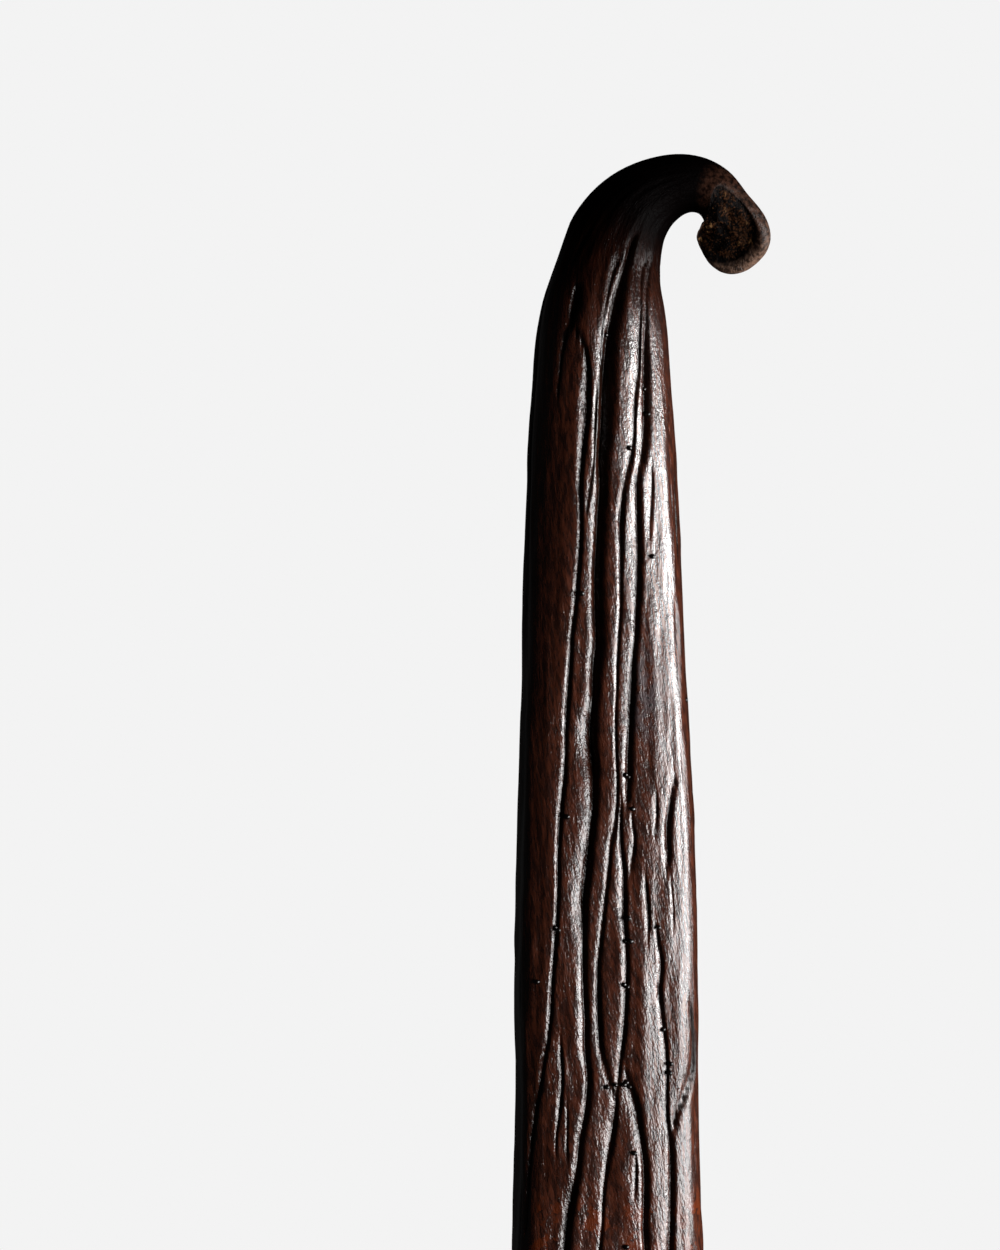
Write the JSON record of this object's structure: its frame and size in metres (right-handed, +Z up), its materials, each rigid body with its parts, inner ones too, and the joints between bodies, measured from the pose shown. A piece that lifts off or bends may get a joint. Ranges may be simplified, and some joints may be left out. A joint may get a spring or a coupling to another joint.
{
  "type": "vanilla pod",
  "caption": "Whole cured vanilla pod, dark, oily and wrinkled lengthwise, lying on its back with its narrow stem end hooked over to a rough scar.",
  "frame": {"origin": "middle of the pod's box, on the surface it lies on", "axes": "+Z up through the face side, +Y along the pod towards the hooked stem end, +X to the side that the hook curls to"},
  "size_m": [0.0224, 0.1558, 0.0059],
  "materials": {
    "pod_skin": "oily, finely wrinkled"
  },
  "bodies": {
    "root": {"pod": "pod_skin"}
  },
  "joints": []
}
